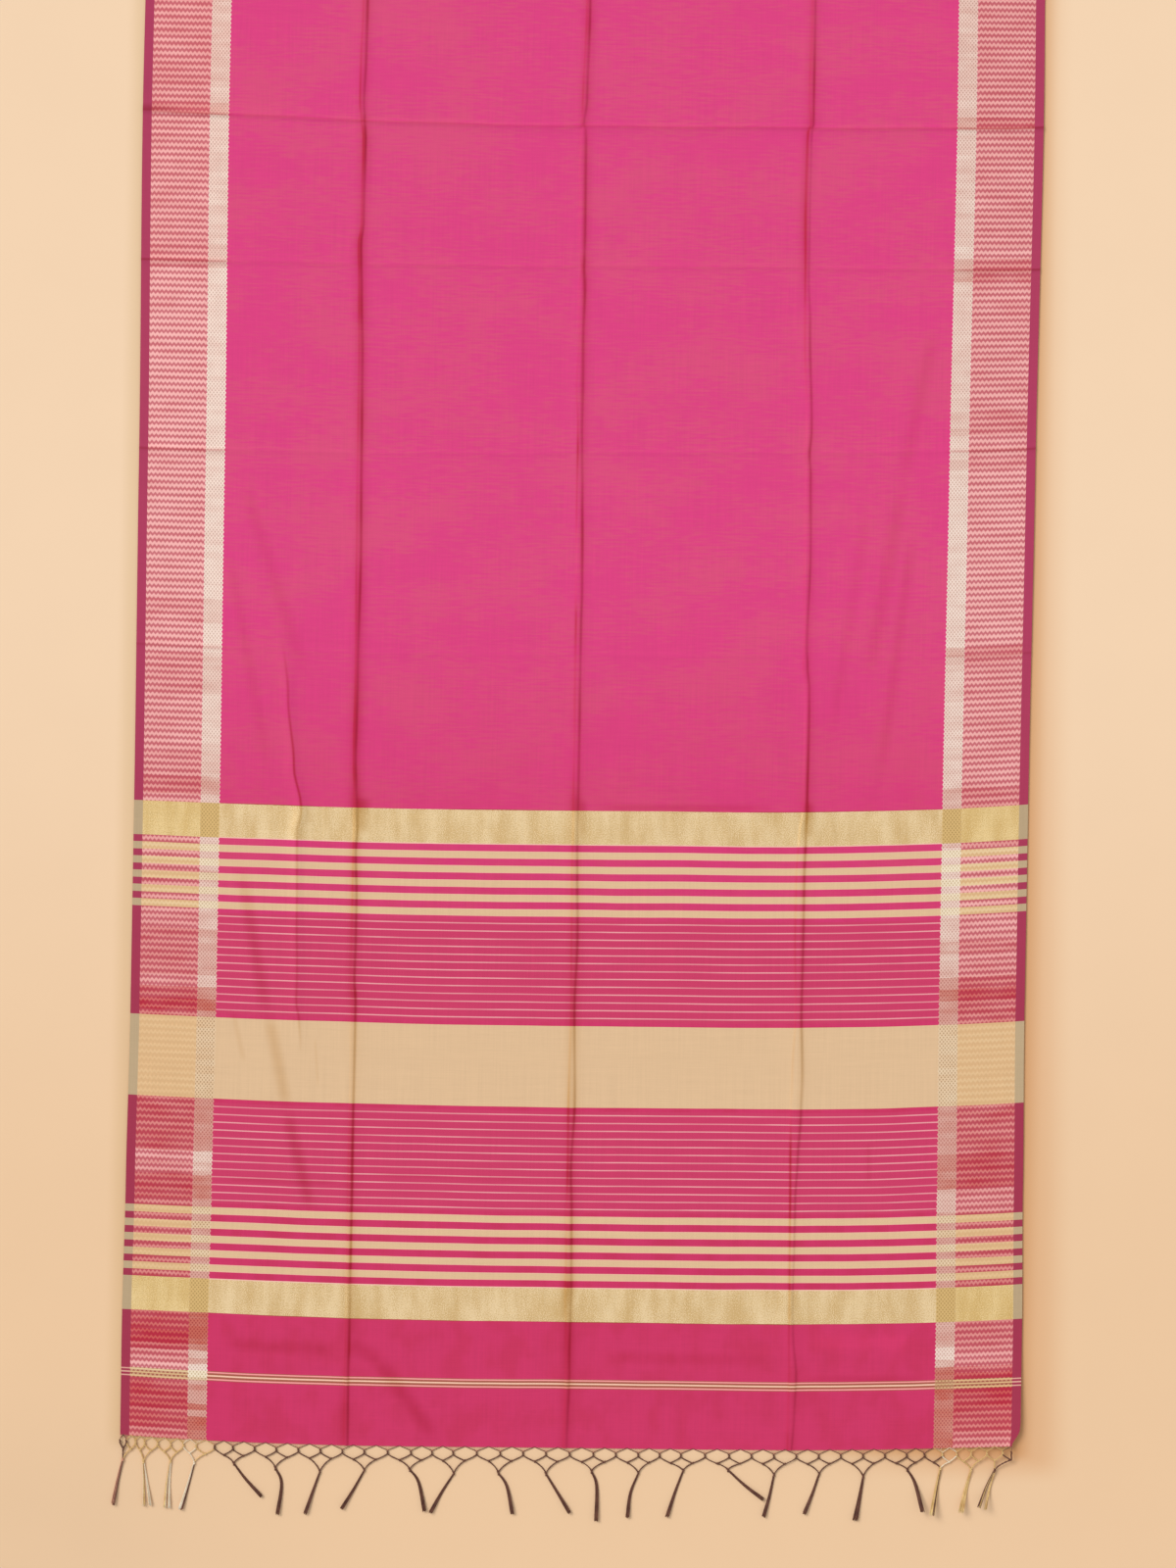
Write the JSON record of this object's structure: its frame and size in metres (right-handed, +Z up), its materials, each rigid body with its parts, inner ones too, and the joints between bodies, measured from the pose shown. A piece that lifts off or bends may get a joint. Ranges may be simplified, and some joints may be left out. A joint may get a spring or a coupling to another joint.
{
  "type": "saree, laid flat",
  "caption": "Flat-laid woven saree with striped pallu, patterned borders and a knotted tassel fringe; the rest of its length is folded in layers at the far end.",
  "frame": {"origin": "centre of the footprint, on the surface that the cloth lies on", "axes": "+Z up out of the face of the cloth, +Y along its length from the fringe to the folded rest, +X across it to the right"},
  "size_m": [1.1648, 2.4342, 0.0163],
  "materials": {
    "pallu": "banded pink and gold",
    "body": "mild sheen",
    "folded_rest": "mild sheen",
    "fringe": "twisted yarn"
  },
  "bodies": {
    "root": {"pallu": "pallu", "body": "body", "folded_rest": "folded_rest", "fringe": "fringe"}
  },
  "joints": []
}
